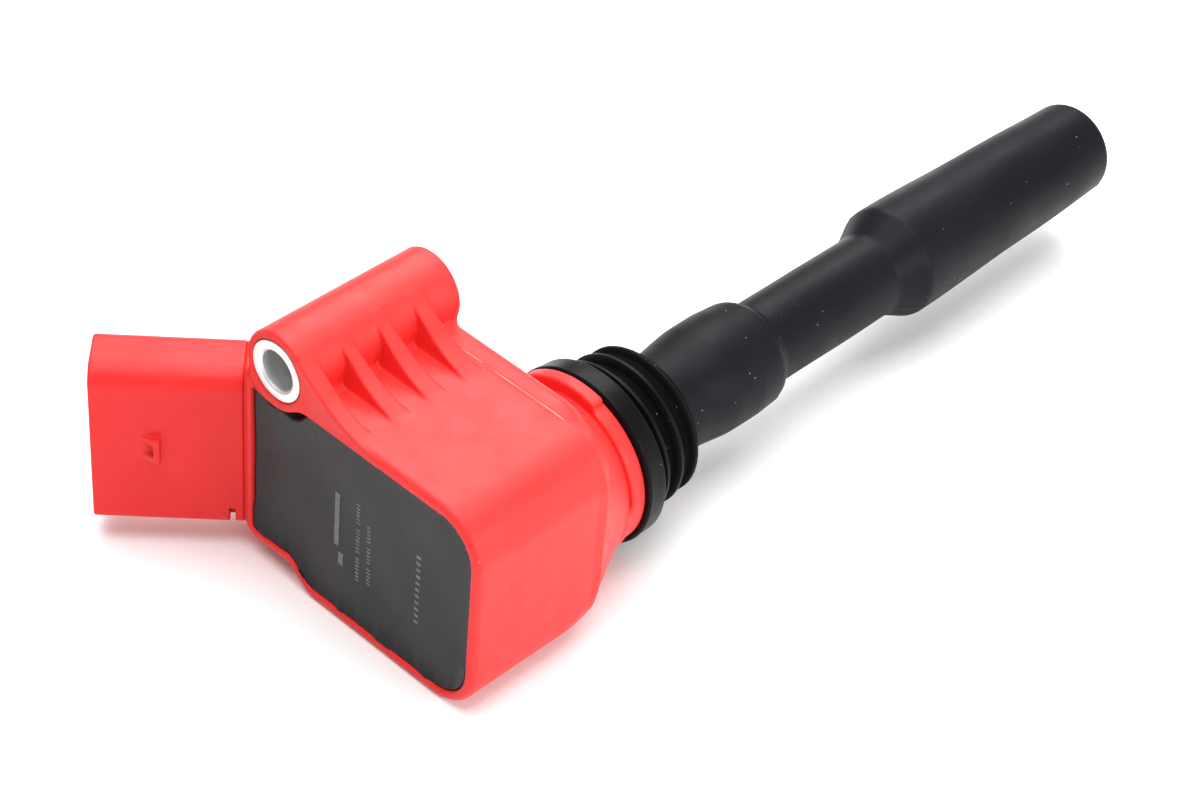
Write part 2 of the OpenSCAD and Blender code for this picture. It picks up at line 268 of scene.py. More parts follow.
def settle(points, field, reach):
    """Moves points onto the exact zero surface of a field function, by at most reach a pass."""
    passes = 3
    probe = 0.02
    flattest = 0.2
    offsets = probe * np.eye(3)
    for _ in range(passes):
        value = field(*points.T)
        rise = np.stack([field(*(points + o).T) - field(*(points - o).T) for o in offsets], 1)
        slope = rise / (2 * probe)
        move = value[:, None] * slope / np.maximum((slope ** 2).sum(1), flattest)[:, None]
        length = np.maximum(np.linalg.norm(move, axis=1), 1e-9)
        points = points - move * np.minimum(1, reach / length)[:, None]
    return points


def field_mesh(name, field, low, high, step, place=None):
    """A mesh piece of a field function's surface; place maps its points into the row frame."""
    axes = [np.arange(low[i], high[i] + step, step, dtype=np.float32) for i in range(3)]
    grid = field(*np.meshgrid(*axes, indexing="ij"))
    points, quads = surface_nets(grid, np.array(low), step)
    points = settle(points, field, reach=step * 0.4)
    if place is not None:
        points = place(points)
    return mesh_piece(name, points, quads.tolist())


# ---------------------------------------------------------------- mesh helpers


def mesh_piece(name, points, faces, smooth=True):
    """A new mesh object from points in millimetres."""
    mesh = bpy.data.meshes.new(name)
    mesh.from_pydata((np.asarray(points) * MM).tolist(), [], faces)
    mesh.update()
    mesh.polygons.foreach_set("use_smooth", [smooth] * len(mesh.polygons))
    piece = bpy.data.objects.new(name, mesh)
    bpy.context.scene.collection.objects.link(piece)
    return piece


def fillet_arc(before, here, after, fillet, segments):
    """Points of the arc that rounds a corner, held clear of the middles of its two sides."""
    to_before = (before - here) / np.linalg.norm(before - here)
    to_after = (after - here) / np.linalg.norm(after - here)
    half = math.acos(np.clip(to_before @ to_after, -1, 1)) / 2
    reach = min(fillet / math.tan(half), 0.48 * np.linalg.norm(before - here),
                0.48 * np.linalg.norm(after - here))
    radius = reach * math.tan(half)
    middle = (to_before + to_after) / np.linalg.norm(to_before + to_after)
    centre = here + middle * radius / math.sin(half)
    start = here + to_before * reach - centre
    end = here + to_after * reach - centre
    first = math.atan2(start[1], start[0])
    sweep = (math.atan2(end[1], end[0]) - first + math.pi) % (2 * math.pi) - math.pi
    angles = [first + sweep * k / segments for k in range(segments + 1)]
    return [centre + radius * np.array([math.cos(a), math.sin(a)]) for a in angles]


def rounded_profile(corners, segments):
    """Profile points (x, r) from corners (x, r, fillet radius), each corner turned into an arc."""
    out = []
    for i, (x, r, fillet) in enumerate(corners):
        here = np.array([x, r], float)
        if fillet > 0:
            before = np.array(corners[i - 1][:2], float)
            after = np.array(corners[(i + 1) % len(corners)][:2], float)
            out += fillet_arc(before, here, after, fillet, segments)
        else:
            out.append(here)
    return out


def split_sides(profile, longest):
    """The closed profile again, with its long sides cut into even parts."""
    fine = []
    for i, p in enumerate(profile):
        q = profile[(i + 1) % len(profile)]
        parts = max(1, int(np.linalg.norm(q - p) / longest))
        fine += [p + (q - p) * k / parts for k in range(parts)]
    return np.array(fine)


def lathe(name, corners, centre=(0, 0), around=128, segments=6, shape=None, longest=1.5):
    """A closed profile of (x, r, fillet) corners turned about an axis along X at (y, z) = centre."""
    profile = split_sides(rounded_profile(corners, segments), longest)
    turn = np.arange(around) * 2 * np.pi / around
    x = np.repeat(profile[:, 0], around).reshape(-1, around)
    r = np.repeat(profile[:, 1], around).reshape(-1, around)
    angle = np.tile(turn, (len(profile), 1))
    if shape is not None:
        r = shape(x, r, angle)
    points = np.stack([x, centre[0] + r * np.cos(angle), centre[1] + r * np.sin(angle)], -1).reshape(-1, 3)
    faces = []
    for i in range(len(profile)):
        j = (i + 1) % len(profile)
        for k in range(around):
            m = (k + 1) % around
            faces.append((i * around + k, i * around + m, j * around + m, j * around + k))
    piece = mesh_piece(name, points, faces)
    fix_normals(piece)
    return piece


def fix_normals(piece):
    """Turns a closed mesh the right way out, by the sign of its volume."""
    mesh = piece.data
    mesh.calc_loop_triangles()
    co = np.array([v.co for v in mesh.vertices])
    tri = np.array([t.vertices for t in mesh.loop_triangles])
    volume = np.einsum("ij,ij->i", co[tri[:, 0]], np.cross(co[tri[:, 1]], co[tri[:, 2]])).sum()
    if volume < 0:
        mesh.flip_normals()


def thin_out(piece, share):
    """Keeps about the given share of a mesh's triangles, mostly by merging those on flat faces."""
    modifier = piece.modifiers.new("thin_out", "DECIMATE")
    modifier.ratio = share
    full = piece.data
    thinned = piece.evaluated_get(bpy.context.evaluated_depsgraph_get())
    piece.data = bpy.data.meshes.new_from_object(thinned)
    piece.modifiers.clear()
    bpy.data.meshes.remove(full)
    piece.data.name = piece.name


def finish_piece(piece, body, slot, material, *nodes):
    """Gives a piece its material and body, and hides the CAD nodes that it stands in for; slot is not used.
    """
    piece.data.materials.append(material)
    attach(piece, body)
    if nodes:
        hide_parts(*nodes)
    return piece


# ---------------------------------------------------------------- materials


def rgba(value):
    """Four channels from a colour or from a grey value."""
    return (*value, 1) if isinstance(value, tuple) else (value, value, value, 1)


class Nodes:
    """A material's node tree, with short ways to add and join nodes."""

    def __init__(self, name):
        self.material = bpy.data.materials.new(name)
        self.material.use_nodes = True
        self.tree = self.material.node_tree
        self.shader = self.tree.nodes["Principled BSDF"]
        coords = self.tree.nodes.new("ShaderNodeTexCoord")
        self.place = coords.outputs["Object"]

    def link(self, source, target):
        self.tree.links.new(source, target)

    def noise(self, scale, detail=3, roughness=0.5, stretch=None):
        """Soft noise, with the given number of cells in a metre before the stretch."""
        node = self.tree.nodes.new("ShaderNodeTexNoise")
        node.inputs["Scale"].default_value = scale
        node.inputs["Detail"].default_value = detail
        node.inputs["Roughness"].default_value = roughness
        self.link(self.stretched(stretch), node.inputs["Vector"])
        return node.outputs["Fac"]

    def specks(self, scale, size):
        """White dots, one in each cell, of the given share of a cell."""
        node = self.tree.nodes.new("ShaderNodeTexVoronoi")
        node.inputs["Scale"].default_value = scale
        self.link(self.place, node.inputs["Vector"])
        return self.ramp(node.outputs["Distance"], [(size * 0.6, 1), (size, 0)])

    def stretched(self, stretch):
        """Place in the material, scaled along each axis."""
        if stretch is None:
            return self.place
        node = self.tree.nodes.new("ShaderNodeMapping")
        node.inputs["Scale"].default_value = stretch
        self.link(self.place, node.inputs["Vector"])
        return node.outputs["Vector"]

    def off_axis(self, near, far):
        """Runs from 0 to 1 between two distances from the X axis, in millimetres."""
        flat = self.tree.nodes.new("ShaderNodeVectorMath")
        flat.operation = "MULTIPLY"
        flat.inputs[1].default_value = (0, 1, 1)
        self.link(self.place, flat.inputs[0])
        length = self.tree.nodes.new("ShaderNodeVectorMath")
        length.operation = "LENGTH"
        self.link(flat.outputs["Vector"], length.inputs[0])
        span = self.tree.nodes.new("ShaderNodeMapRange")
        span.inputs["From Min"].default_value = near * MM
        span.inputs["From Max"].default_value = far * MM
        self.link(length.outputs["Value"], span.inputs["Value"])
        return span.outputs["Result"]

    def within(self, low, high):
        """Is 1 inside the box between two corners in millimetres, and 0 outside it."""
        parts = self.tree.nodes.new("ShaderNodeSeparateXYZ")
        self.link(self.place, parts.inputs["Vector"])
        inside = 1.0
        for i, axis in enumerate("XYZ"):
            near = self.tree.nodes.new("ShaderNodeMath")
            near.operation = "COMPARE"
            near.inputs[1].default_value = (low[i] + high[i]) / 2 * MM
            near.inputs[2].default_value = (high[i] - low[i]) / 2 * MM
            self.link(parts.outputs[axis], near.inputs[0])
            inside = self.multiply(near.outputs["Value"], inside)
        return inside

    def ramp(self, source, stops):
        """Maps a value through (position, value) stops."""
        node = self.tree.nodes.new("ShaderNodeValToRGB")
        elements = node.color_ramp.elements
        while len(elements) < len(stops):
            elements.new(0.5)
        for element, (position, value) in zip(elements, stops):
            element.position = position
            element.color = rgba(value)
        self.link(source, node.inputs["Fac"])
        return node.outputs["Color"]

    def fill(self, socket, value):
        """Links a socket to its source, or sets its plain value."""
        if isinstance(value, bpy.types.NodeSocket):
            self.link(value, socket)
        elif socket.type == "RGBA":
            socket.default_value = rgba(value)
        else:
            socket.default_value = value

    def mix(self, factor, a, b, blend="MIX"):
        """Blends two colours; the colour sockets of the node are its inputs 6 and 7 and its output 2."""
        node = self.tree.nodes.new("ShaderNodeMix")
        node.data_type = "RGBA"
        node.blend_type = blend
        for number, value in ((0, factor), (6, a), (7, b)):
            self.fill(node.inputs[number], value)
        return node.outputs[2]

    def multiply(self, a, b):
        return self.mix(1.0, a, b, "MULTIPLY")

    def bump(self, height, distance, strength, normal=None):
        """Bumps of a height source, distance deep in millimetres, on top of an earlier bump if given."""
        node = self.tree.nodes.new("ShaderNodeBump")
        node.inputs["Distance"].default_value = distance * MM
        node.inputs["Strength"].default_value = strength
        self.link(height, node.inputs["Height"])
        if normal is not None:
            self.link(normal, node.inputs["Normal"])
        self.link(node.outputs["Normal"], self.shader.inputs["Normal"])
        return node.outputs["Normal"]

    def set(self, **values):
        """Fills the shader's own sockets, named with underscores for spaces."""
        for name, value in values.items():
            self.fill(self.shader.inputs[name.replace("_", " ")], value)


def shades(colour, factor):
    return tuple(c * factor for c in colour)


def red_plastic(name, colour, parting=None):
    """Satin moulded plastic: a fine grain, slight mottling, a few scuffs and a patchy painted highlight along
    the parting ridge.
    """
    m = Nodes(name)
    pale = (min(1, colour[0] * 1.03), colour[1] * 1.15, colour[2] * 1.15)
    patches = m.ramp(m.noise(90, detail=4), [(0.3, 0), (0.7, 1)])
    mottled = m.mix(patches, shades(colour, 0.95), pale)
    scuffs = m.ramp(m.noise(420, 6, 0.65, stretch=(1, 0.25, 1)), [(0.70, 0), (0.78, 0.35)])
    surface = m.mix(scuffs, mottled, (0.95, 0.42, 0.38))
    # Painted highlight: a pale line along the parting ridge, broken up by noise
    if parting is not None:
        patchy = m.ramp(m.noise(200), [(0.35, 0), (0.65, 0.6)])
        line = m.multiply(m.within(*parting), patchy)
        surface = m.mix(line, surface, (0.95, 0.30, 0.25))
    m.set(Base_Color=surface)
    m.set(Roughness=m.ramp(m.noise(260), [(0.3, 0.40), (0.7, 0.52)]))
    m.set(Specular_IOR_Level=0.24)
    fine = m.bump(m.noise(3200, detail=2), distance=0.012, strength=0.5)
    m.bump(m.noise(120, detail=2), distance=0.03, strength=0.3, normal=fine)
    return m.material


def rubber(name, colour, roughness, dust, shade_below_r):
    """Moulded rubber with a soft grain, uneven bloom and dust specks; below a radius it is painted deep
    black, as shade in its grooves and bore.
    """
    m = Nodes(name)
    bloom = m.ramp(m.noise(55, 5, 0.6, stretch=(0.35, 1, 1)), [(0.38, 0), (0.72, 1)])
    # Painted shade: below the given radius the colour drops to a tenth and the surface turns rough
    outer = m.off_axis(shade_below_r, shade_below_r + 1)
    base = m.mix(outer, shades(colour, 0.1), m.mix(bloom, colour, shades(colour, 1.8)))
    gate = m.ramp(m.noise(75, detail=2), [(0.44, 0), (0.52, 1)])
    specks = m.multiply(m.specks(420, size=0.06), gate)
    m.set(Base_Color=m.mix(specks, base, (dust, dust, dust * 1.05)))
    grain = m.ramp(m.noise(90, detail=4), [(0.3, roughness - 0.06), (0.7, roughness + 0.08)])
    m.set(Roughness=m.mix(outer, 0.9, grain))
    m.set(Specular_IOR_Level=0.075)
    fine = m.bump(m.noise(2600), distance=0.02, strength=0.6)
    m.bump(m.noise(70, detail=2), distance=0.10, strength=0.3, normal=fine)
    return m.material


def resin(name):
    """Cast black epoxy: faint clouding, a satin gloss and a barely wavy surface."""
    m = Nodes(name)
    cloud = m.ramp(m.noise(60, detail=4), [(0.35, 0), (0.7, 1)])
    m.set(Base_Color=m.mix(cloud, (0.009, 0.010, 0.011), (0.014, 0.016, 0.017)))
    m.set(Roughness=m.ramp(m.noise(110), [(0.3, 0.26), (0.7, 0.36)]))
    m.set(Specular_IOR_Level=0.19)
    m.bump(m.noise(45, detail=2), distance=0.08, strength=0.4)
    return m.material


def metal(name, colour, roughness, stretch=None):
    """Bare metal with fine tool marks, drawn out by the stretch."""
    m = Nodes(name)
    marks = m.noise(900, 4, 0.6, stretch)
    m.set(Base_Color=m.mix(m.ramp(marks, [(0.3, 0), (0.7, 1)]), shades(colour, 0.86), colour))
    m.set(Roughness=m.ramp(marks, [(0.25, roughness - 0.07), (0.75, roughness + 0.10)]))
    m.set(Metallic=1.0)
    m.bump(marks, distance=0.010, strength=0.6)
    return m.material


def grained(name, colour, roughness, scale, depth, metallic=0.0, stretch=None):
    """A plain technical surface with grain of the given scale."""
    m = Nodes(name)
    grain = m.noise(scale, 4, 0.6, stretch)
    m.set(Base_Color=m.mix(m.ramp(grain, [(0.3, 0), (0.7, 1)]), shades(colour, 0.75), colour))
    m.set(Roughness=m.ramp(grain, [(0.3, roughness - 0.05), (0.7, min(1, roughness + 0.08))]))
    m.set(Metallic=metallic)
    m.bump(grain, distance=depth, strength=0.6)
    return m.material


def ink(name):
    """Pale grey printing ink, a little worn."""
    m = Nodes(name)
    patchy = m.ramp(m.noise(900, detail=4), [(0.35, 0), (0.7, 1)])
    m.set(Base_Color=m.mix(patchy, (0.075, 0.078, 0.078), (0.14, 0.145, 0.145)))
    m.set(Roughness=m.ramp(m.noise(500, detail=2), [(0.3, 0.45), (0.7, 0.6)]))
    return m.material


# Painted highlight along the parting ridge on top of the head, as the lowest and highest corners of a box
# round it
PARTING_HIGHLIGHT_BOX = ((PARTING_X - 0.13, -9.0, 14.0), (PARTING_X + 0.13, 13.5, HEAD_TOP + 0.8))
HOUSING_RED = red_plastic("housing_red", (0.680, 0.024, 0.021), PARTING_HIGHLIGHT_BOX)
CONNECTOR_RED = red_plastic("connector_red", (0.640, 0.016, 0.015))
# Each rubber's last number is the radius below which painted shade darkens it
BOOT_RUBBER = rubber("boot_rubber", (0.0042, 0.0046, 0.0058), 0.42, dust=0.20, shade_below_r=5.0)
SEAL_RUBBER = rubber("seal_rubber", (0.0026, 0.0026, 0.0030), 0.36, dust=0.10, shade_below_r=12.2)
RESIN = resin("potting_resin")
SLEEVE_STEEL = metal("sleeve_steel", (0.84, 0.84, 0.83), 0.50, (1, 0.12, 0.12))
BRASS = metal("contact_brass", (0.72, 0.58, 0.30), 0.28)
TINNED = metal("terminal_tin", (0.78, 0.77, 0.74), 0.30, (0.15, 0.15, 1))
SPRING_STEEL = metal("spring_steel", (0.55, 0.56, 0.57), 0.30)
INK = ink("printing_ink")

# ---------------------------------------------------------------- red housing


def outline(y, z, grow):
    """Field of the head's outline across X, with the stepped underside."""
    z = z - STEP_RISE * fade(y, STEP_START, STEP_END) * climb(z, 6, -12)
    radii = [max(0.3, CORNER_R[k] + grow) for k in ("lower_right", "upper_right", "lower_left", "upper_left")]
    low = (HEAD_RIGHT - grow, HEAD_BOTTOM - grow)
    high = (HEAD_LEFT + grow, HEAD_TOP + grow)
    return rounded_rect(y, z, low, high, radii)


def shoulder(x, y, z):
    """Taper from the back of the head to the round collar."""
    start = rounded_rect(y, z, SHOULDER_LOW, SHOULDER_HIGH, SHOULDER_CORNER_R)
    t = climb(x, PARTING_X, -RING_W - 0.5)
    section = start * (1 - t) + (np.hypot(y, z) - COLLAR_R + 0.3) * t
    return round_max(section, slab(x, PARTING_X - 1, -RING_W - 0.4), 0.4)


def rib_surface(y, z):
    """Sloped plane tangent to the boss, which curves out onto the top of the head."""
    plane = (z - RIB_TOP_Z) * math.cos(RIB_SLOPE) - (y - RIB_TOP_Y) * math.sin(RIB_SLOPE)
    return round_min(np.maximum(plane + 0.12, y - RIB_TOP_Y), z - HEAD_TOP + 0.5, RIB_FOOT_R)


def ribs(x, y, z):
    """Ribs from the boss to the top of the head, the first one backing the rim."""
    foot = np.maximum(slab(y, RIB_START_Y, BOSS_Y), HEAD_TOP - RIB_ROOT - z)
    body = np.maximum(rib_surface(y, z), foot)
    across = slab(x, *RIBS[0])
    draft = RIB_DRAFT * np.maximum(0, RIB_TOP_Z - 3 - z)
    for start, end in RIBS[1:]:
        across = np.minimum(across, slab(x, start - draft, end + draft))
    return round_max(body, across, 0.35)


def wedge(y, z, from_deg, to_deg):
    """Field of the sector between two angles in the YZ plane, under 180 degrees wide."""
    a, b = math.radians(from_deg), math.radians(to_deg)
    return np.maximum(y * math.sin(a) - z * math.cos(a), z * math.cos(b) - y * math.sin(b))


def lug(x, y, z, x0, x1, r, from_deg, to_deg):
    """Raised arc on the collar."""
    from_axis = np.hypot(y, z)
    ring = round_max(slab(x, x0, x1), np.maximum(from_axis - r, LUG_INNER_R - from_axis), 0.5)
    return round_max(ring, wedge(y, z, from_deg, to_deg), 0.6)


def channel(x, y, z, x0, x1, r, from_deg, to_deg):
    """Groove cut into the collar down to radius r, over part of its way round."""
    ring = round_max(slab(x, x0, x1), r - np.hypot(y, z), 0.6)
    return round_max(ring, wedge(y, z, from_deg, to_deg), 0.6)


def neck(x, y, z):
    """Diagonal wedge between the side of the head and the connector."""
    a = (y - x) * DIAGONAL
    b = -(x + y) * DIAGONAL
    section = connector_section(b, z, 0)
    return round_max(round_max(section, slab(a, NECK_A, FLANGE_A), 0.25), HEAD_LEFT - 2 - y, 0.3)


def cavity(x, y, z):
    """Open space in the head, under the bolt boss and its flat underside."""
    inside = outline(y, z, -WALL)
    boss = np.hypot(y - BOSS_Y, z - BOSS_Z) - BOSS_R + 0.1
    under = np.maximum(BOSS_Y - y, BOSS_Z - BOSS_R + 0.1 - z)
    inside = round_max(inside, -np.minimum(boss, under), 0.9)
    return np.maximum(inside, x - CAVITY_BACK)


def head_block(x, y, z):
    """Rectangular head; behind the parting line its plain side turns in, the more so lower down."""
    turned_in = fade(y, -5, -14) * (TURN_IN + TURN_IN_LOW * fade(z, -3, -11))
    body = outline(y, z, 0) + turned_in * np.clip((x - PARTING_X) / TURN_IN_LENGTH, 0, 1)
    undercut = UNDERCUT * fade(z, -2, -12) * fade(y, 4, -4)
    body = body + undercut * np.clip((x - PARTING_X + UNDERCUT_LENGTH) / UNDERCUT_LENGTH, 0, 1) ** 2
    front = round_max(body, HEAD_FRONT - x, 1.1)
    return round_max(front, x - HEAD_BACK, 2.8)


def parting_ridge(x, y, z):
    """Height of the fine moulding ridge over the top and the plain side, faint round their corner."""
    height, half_width = 0.24, 0.30
    ridge = height * np.exp(-((x - PARTING_X) / half_width) ** 2)
    corner = fade(y, -6, -11) * fade(z, 10, 16)
    return ridge * fade(y, 14, 10) * fade(z, -9, -3) * (1 - 0.8 * corner)


def collar(x, y, z):
    """Stepped round collar at the back of the shoulder."""
    from_axis = np.hypot(y, z)
    ring = round_max(from_axis - COLLAR_R, slab(x, -RING_W, -0.02), 0.35)
    core = np.maximum(from_axis - COLLAR_R + COLLAR_STEP, slab(x, -6, 0))
    return round_min(ring, core, 0.2)


def terminal_way(x, y, z):
    """Passage for the terminals from the head into the connector."""
    way = np.maximum(slab((y - x) * DIAGONAL, 36, 60), slab(-(x + y) * DIAGONAL, -2.2, 3.6))
    return np.maximum(way, slab(z, -8, 12))


def housing_field(x, y, z):
    """The housing without its tower; each join's last number is the radius of its fillet."""
    from_sleeve = np.hypot(y - BOSS_Y, z - BOSS_Z)
    shape = round_min(head_block(x, y, z), shoulder(x, y, z), 0.8)
    boss = round_max(from_sleeve - BOSS_R, slab(x, HEAD_FRONT, BOSS_BACK), 0.6)
    shape = round_min(round_min(shape, boss, 1.6), ribs(x, y, z), 0.35)
    shape = round_min(shape, neck(x, y, z), 0.6)
    shape = np.minimum(shape, collar(x, y, z))
    shape = round_max(shape, -channel(x, y, z, *COLLAR_GROOVE), 0.5)
    shape = round_min(shape, lug(x, y, z, *UPPER_LUG), 0.15)
    shape = round_min(shape, lug(x, y, z, *SIDE_LUG), 0.8)
    shape = shape - parting_ridge(x, y, z)
    shape = round_max(shape, -cavity(x, y, z), 0.15)
    shape = round_max(shape, SLEEVE_R + 0.12 - from_sleeve, 0.15)
    return np.maximum(shape, -terminal_way(x, y, z))


def make_housing():
    """Head, boss, ribs, neck and collar as one moulding."""
    margin = 1.0
    low = (HEAD_FRONT - margin, HEAD_RIGHT - margin, HEAD_BOTTOM - margin)
    high = (margin, 42.5, BOSS_Z + BOSS_R + margin)
    shell = field_mesh("housing_shell", housing_field, low, high, step=0.33)
    thin_out(shell, 0.56)
    finish_piece(shell, "coil", "red_housing", HOUSING_RED, "coil_housing")


def make_tower():
    """Spigot under the seal and high-voltage tower inside the boot, on one plate behind the head."""
    plate_back, plate_front, plate_r = -13.0, -0.4, 13.0
    spigot_bore_r, spigot_floor = 9.0, -10.0
    tower = lathe("housing_tower", [
        (plate_back, TOWER_BORE_R, 0), (plate_back, plate_r, 0), (plate_front, plate_r, 0),
        (plate_front, SPIGOT_R, 0), (SPIGOT_END, SPIGOT_R, 0.5), (SPIGOT_END, spigot_bore_r, 0.4),
        (spigot_floor, spigot_bore_r, 0.8), (spigot_floor, TOWER_R, 0.8), (TOWER_END, TOWER_R, 0.8),
        (TOWER_END, TOWER_BORE_R, 0.4)])
    finish_piece(tower, "coil", "red_housing", HOUSING_RED, "coil_housing")


# ---------------------------------------------------------------- connector


def along_connector(points):
    """Maps points (a, b, z) in the connector's own directions into the row frame."""
    a, b, z = points.T
    return np.stack([(-a - b) * DIAGONAL, (a - b) * DIAGONAL, z], 1)


def connector_section(b, z, grow):
    """Field of the connector's outline across its length, grown or shrunk."""
    low = (FACE_B - CONNECTOR_T - grow, CONNECTOR_BOTTOM - grow)
    high = (FACE_B + grow, CONNECTOR_TOP + grow)
    lower, upper = CONNECTOR_LOWER_R + grow, CONNECTOR_UPPER_R + grow
    return rounded_rect(b, z, low, high, (lower, upper, lower, upper))


def latch_tab(a, b, z):
    """Wedge that the harness plug clips over, hollow behind its lip."""
    run = TAB_A[1] - TAB_A[0] - TAB_LIP
    slope = b - FACE_B - TAB_RISE + np.maximum(0, a - TAB_A[0] - TAB_LIP) * TAB_RISE / run
    tab = round_max(np.maximum(slope, FACE_B - 1 - b), np.maximum(slab(a, *TAB_A), slab(z, *TAB_Z)), 0.1)
    hollow = np.maximum(slab(a, TAB_A[0] + 1.0, TAB_A[1] + 1), slab(z, TAB_Z[0] + 1.3, TAB_Z[1] - 1.1))
    return np.maximum(tab, -hollow)


def key(a, b, z, side, level):
    """Short guide rib inside the connector's mouth."""
    across = slab(b, side - KEY_HALF, side + KEY_HALF)
    section = np.maximum(across, slab(z, level - KEY_HALF, level + KEY_HALF))
    return np.maximum(section, slab(a, FLANGE_A + 2, MOUTH_A - 1.5))


def connector_field(a, b, z):
    body = round_max(connector_section(b, z, 0), slab(a, FLANGE_A, MOUTH_A), 0.35)
    body = round_min(body, latch_tab(a, b, z), 0.15)
    socket = np.maximum(connector_section(b, z, -SHELL_T), FLANGE_A + BASE_T - a)
    body = round_max(body, -socket, 0.3)
    for side in (FACE_B - SHELL_T, FACE_B - CONNECTOR_T + SHELL_T):
        for level in KEY_LEVELS:
            body = round_min(body, key(a, b, z, side, level), 0.15)
    notch = np.maximum(slab(a, *NOTCH_A), np.maximum(NOTCH_B - b, z - NOTCH_TOP))
    return np.maximum(body, -notch)


def make_connector():
    """Connector shell with its latch tab, open at the far end."""
    margin = 0.8
    low = (FLANGE_A - margin, FACE_B - CONNECTOR_T - margin, CONNECTOR_BOTTOM - margin)
    high = (MOUTH_A + margin, FACE_B + TAB_RISE + 1, CONNECTOR_TOP + margin)
    shell = field_mesh("connector_shell", connector_field, low, high, 0.22, along_connector)
    finish_piece(shell, "coil", "red_connector", CONNECTOR_RED, "connector_housing")


def blade_field(level, half_t):
    """Field of a blade with a tapered nose, at a level and with half its thickness."""
    def field(a, b, z):
        nose = np.maximum(0, a - NOSE_A) * NOSE_TAPER
        width = np.abs(b - BLADE_B) - BLADE_HALF_W + nose * 0.8
        section = np.maximum(width, np.abs(z - level) - half_t + nose * 0.6)
        return round_max(section, slab(a, *BLADE_A), 0.1)
    return field


def make_terminals():
    """Four blades; the CAD pins' bent legs stay hidden in the head."""
    margin = 0.6
    for node in PIN_NODES:
        low, high = node_box(node)
        level = (low[2] + high[2]) / 2
        piece = field_mesh(node.replace("terminal_pin", "terminal_blade"),
                           blade_field(level, (high[2] - low[2]) / 2),
                           (BLADE_A[0] - margin, BLADE_B - 2, level - 1),
                           (BLADE_A[1] + margin, BLADE_B + 2, level + 1), 0.2, along_connector)
        finish_piece(piece, "coil", "terminal_tin", TINNED, node)


# ---------------------------------------------------------------- sleeve


def make_sleeve():
    """Steel tube with a small chamfer at each end of its bore."""
    x0, x1 = SLEEVE_LOW[0], SLEEVE_HIGH[0]
    chamfer, mouth_r = 0.4, SLEEVE_BORE_R + 0.35
    piece = lathe("bolt_sleeve", [
        (x0, mouth_r, 0.1), (x0, SLEEVE_R, 0.12), (x1, SLEEVE_R, 0.12), (x1, mouth_r, 0.1),
        (x1 - chamfer, SLEEVE_BORE_R, 0.1), (x0 + chamfer, SLEEVE_BORE_R, 0.1)],
        (BOSS_Y, BOSS_Z), around=96, segments=4)
    finish_piece(piece, "coil", "sleeve_steel", SLEEVE_STEEL, "mounting_sleeve")


# ---------------------------------------------------------------- potting and its printed marks


def poured_surface(y, z):
    """Place along X of the poured surface, which is barely wavy."""
    return POURED_LEVEL - 0.10 * np.sin(y * 0.31 + 1.2) * np.sin(z * 0.27)


def creep(y, z, depth):
    """How far the resin climbs the walls: a little everywhere, and unevenly on the lower wall."""
    lower = fade(z, -5, -8)
    uneven = 1 + 0.35 * np.sin(0.71 * y + 1) + 0.25 * np.sin(1.37 * y) + 0.15 * np.sin(2.9 * y + 2)
    return (0.2 + 0.45 * lower * uneven) * np.exp(-depth / (0.8 + 0.3 * lower))


def potting_field(x, y, z):
    """Poured resin: it creeps up the walls and falls away under the bolt boss."""
    wall_gap = 0.12
    inside = cavity(x, y, z)
    from_boss = np.hypot(y - BOSS_Y, z - BOSS_Z) - BOSS_R + 0.35 * np.sin(1.1 * y)
    fall = 1.8 * fade(from_boss, 1.9, 0.5)
    surface = poured_surface(y, z) - creep(y, z, np.maximum(-inside, 0)) + fall
    front = round_max(surface - x, inside + wall_gap, 0.15)
    return np.maximum(front, x - (POTTING_LOW[0] + POURED_DEPTH))


def make_potting():
    margin = 0.8
    low = POTTING_LOW - margin
    high = (POTTING_LOW[0] + POURED_DEPTH + margin, POTTING_HIGH[1] + margin, POTTING_HIGH[2] + margin + 3)
    piece = field_mesh("potting_face", potting_field, low, high, step=0.33)
    finish_piece(piece, "coil", "potting_resin", RESIN, "potting_compound")


def bar(y, z, width, length):
    """Corner points of one flat printed bar, its foot centred at (y, z)."""
    near, far = y - width / 2, y + width / 2
    return [(near, z), (far, z), (far, z + length), (near, z + length)]


def tick_row(y, start, end, pitch, width, word):
    """A row of fine ticks along Z, with a gap in the place of every word-th tick."""
    count = int((end - start) / pitch)
    return [bar(y, start + i * pitch, width, pitch * 0.42) for i in range(count) if i % word != word - 1]


def mark_bars():
    """Plain printed bars and rows of ticks, with no letters."""
    bars = [bar(11.9, -2.2, width=1.0, length=10.4), bar(10.9, -5.6, width=1.0, length=2.4)]
    bars += tick_row(7.3, -6.4, 9.8, pitch=0.72, width=0.75, word=8)
    bars += tick_row(4.9, -5.6, 6.9, pitch=0.72, width=0.75, word=6)
    bars += tick_row(-5.6, -5.8, 8.6, pitch=1.30, width=0.85, word=99)
    return bars


def make_print():
    """The printed marks as thin blocks of ink, sunk into the poured surface."""
    film, root = 0.03, 0.1
    bars = mark_bars()
    flat = [corner for marks in bars for corner in marks]
    n = len(flat)
    points = [(poured_surface(y, z) - film, y, z) for y, z in flat]
    points += [(poured_surface(y, z) + root, y, z) for y, z in flat]
    fronts = [tuple(range(i * 4, i * 4 + 4)) for i in range(len(bars))]
    faces = [tuple(reversed(f)) for f in fronts] + [tuple(i + n for i in f) for f in fronts]
    faces += [(i, j, j + n, i + n) for f in fronts for i, j in zip(f, f[1:] + f[:1])]
    piece = mesh_piece("print_marks", points, faces, smooth=False)
    finish_piece(piece, "coil", "potting_resin", INK)


# ---------------------------------------------------------------- rubber parts


